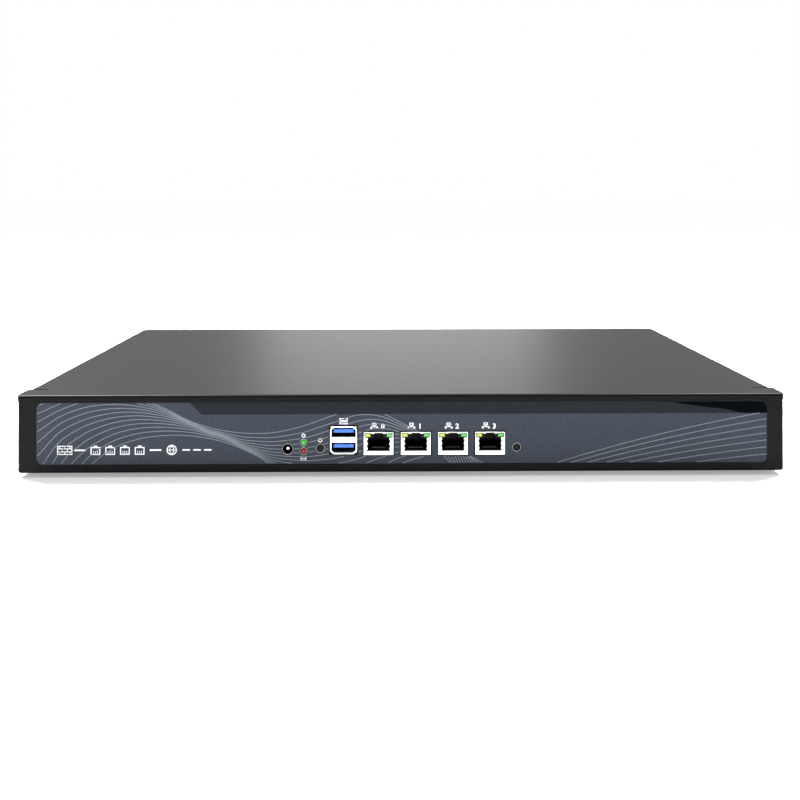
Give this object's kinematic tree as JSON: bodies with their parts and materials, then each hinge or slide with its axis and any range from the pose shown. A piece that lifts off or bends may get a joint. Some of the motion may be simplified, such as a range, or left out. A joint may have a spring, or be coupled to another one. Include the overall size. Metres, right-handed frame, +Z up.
{
  "type": "firewall appliance",
  "caption": "Low rack-width network appliance: folded steel enclosure with a printed front panel, front network and USB ports, and a rear AC inlet, switch and fan.",
  "frame": {"origin": "middle of the enclosure's box, on the surface the rubber feet stand on", "axes": "front faces -Y, +X is to the right seen from the front, +Z is up"},
  "size_m": [0.431, 0.2535, 0.0461],
  "materials": {
    "black_paint": "satin powder coat",
    "overlay_film": "printed polyester film",
    "black_screw": "black oxide",
    "foot_rubber": "moulded rubber",
    "zinc_screw": "zinc plated",
    "green_laminate": "solder mask",
    "tan_laminate": "paper laminate",
    "brass_plate": "turned",
    "dark_chip": "moulded epoxy",
    "bare_aluminium": "extruded",
    "black_plastic": "moulded",
    "white_plastic": "moulded",
    "bright_metal": "nickel plated",
    "blue_plastic": "moulded",
    "gold_contact": "gold flash",
    "yellow_window": "clear tinted",
    "green_window": "clear tinted",
    "red_window": "clear tinted",
    "zinc_sheet": "zinc plated sheet",
    "red_cable": "PVC jacket",
    "black_cable": "PVC jacket",
    "yellow_tape": "polyester tape",
    "dark_sleeve": "printed sleeve"
  },
  "bodies": {
    "enclosure": {"front_bezel": "black_paint", "front_overlay": "overlay_film", "bezel_screws": "black_screw", "chassis_tray": "black_paint", "rear_panel": "black_paint", "top_cover": "black_paint", "cover_screws": "black_screw", "rubber_feet": "foot_rubber", "foot_screws": "zinc_screw", "mainboard": "green_laminate", "board_standoffs": "brass_plate", "board_screws": "zinc_screw", "processor": "dark_chip", "heatsink": "bare_aluminium", "heatsink_screws": "zinc_screw", "memory_socket": "black_plastic", "memory_module": "green_laminate", "coin_cell_holder": "black_plastic", "coin_cell": "bright_metal", "capacitors": "bare_aluminium", "inductors": "dark_chip", "controller_chips": "dark_chip", "board_sockets": "white_plastic", "usb_shell": "bright_metal", "usb_insulator": "black_plastic", "usb_tongues": "blue_plastic", "usb_contacts": "gold_contact", "lan_shields": "bright_metal", "lan_housings": "black_plastic", "lan_left_windows": "yellow_window", "lan_right_windows": "green_window", "lan_contacts": "gold_contact", "dc_jack_body": "black_plastic", "dc_jack_pin": "bright_metal", "led_holder": "black_plastic", "power_led": "green_window", "drive_led": "red_window", "power_switch_body": "black_plastic", "reset_switch_body": "black_plastic", "drive_bracket": "zinc_sheet", "data_drive": "bare_aluminium", "drive_screws": "zinc_screw", "data_lead": "red_cable", "supply_board": "tan_laminate", "supply_transformer": "yellow_tape", "supply_capacitors": "dark_sleeve", "supply_heat_plates": "bare_aluminium", "supply_terminals": "white_plastic", "dc_lead": "black_cable", "inlet_body": "black_plastic", "inlet_pins": "bright_metal", "switch_frame": "black_plastic", "ac_wires": "black_cable", "fan_frame": "black_plastic", "rear_screws": "black_screw", "fan_lead": "black_cable"},
    "power_button": {"power_button": "black_plastic"},
    "reset_button": {"reset_button": "black_plastic"},
    "switch_rocker": {"switch_rocker": "black_plastic"},
    "fan_rotor": {"fan_rotor": "black_plastic"}
  },
  "joints": [
    {"name": "power_button_press", "type": "slide", "parent": "enclosure", "child": "power_button", "axis": [0, 1, 0], "range_m": [0, 0.0012], "stiffness_N_per_m": 800},
    {"name": "reset_button_press", "type": "slide", "parent": "enclosure", "child": "reset_button", "axis": [0, 1, 0], "range_m": [0, 0.001], "stiffness_N_per_m": 800},
    {"name": "rocker_tip", "type": "hinge", "parent": "enclosure", "child": "switch_rocker", "pos_m": [0.198, 0.1209, 0.023], "axis": [1, 0, 0], "range_deg": [-18, 0]},
    {"name": "fan_spin", "type": "hinge", "parent": "enclosure", "child": "fan_rotor", "pos_m": [0.105, 0.1175, 0.0239], "axis": [0, 1, 0], "continuous": true}
  ]
}
